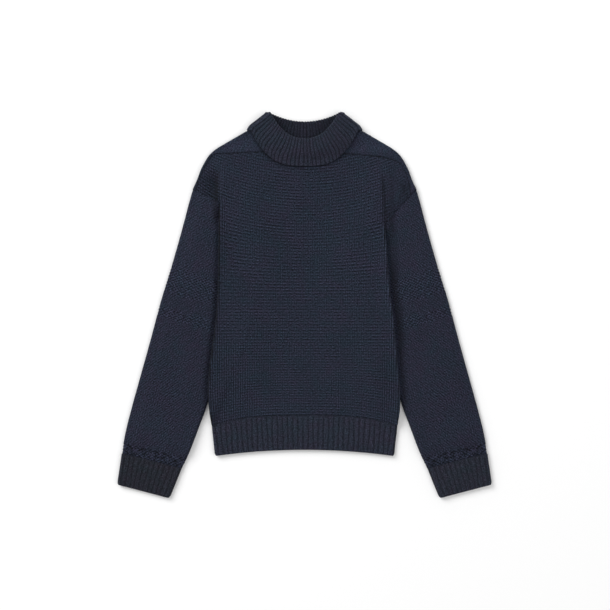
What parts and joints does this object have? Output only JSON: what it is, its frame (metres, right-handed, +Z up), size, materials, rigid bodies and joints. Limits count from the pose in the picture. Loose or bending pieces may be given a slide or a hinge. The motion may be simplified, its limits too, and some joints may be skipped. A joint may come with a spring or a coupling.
{
  "type": "turtleneck sweater",
  "caption": "Navy wool turtleneck sweater laid flat with its arms down, seed-stitch bands on the sleeves and ribbed hem, cuffs and folded collar.",
  "frame": {"origin": "on the surface that the sweater lies on, at the middle of its width and of its length from collar to cuffs", "axes": "+Y from the hem to the collar, +X to the right as seen from above, +Z up from the surface through the layers of cloth"},
  "size_m": [0.6894, 0.7117, 0.0221],
  "materials": {
    "body_knit": "matt worsted wool in stocking stitch",
    "sleeve_knit": "matt worsted wool in stocking stitch with seed-stitch bands",
    "rib_knit": "matt worsted wool in two by one rib"
  },
  "bodies": {
    "root": {"back_panel": "body_knit", "front_panel": "body_knit", "hem_rib": "rib_knit", "collar": "rib_knit", "sleeve_left": "sleeve_knit", "sleeve_right": "sleeve_knit", "cuff_left": "rib_knit", "cuff_right": "rib_knit"}
  },
  "joints": []
}
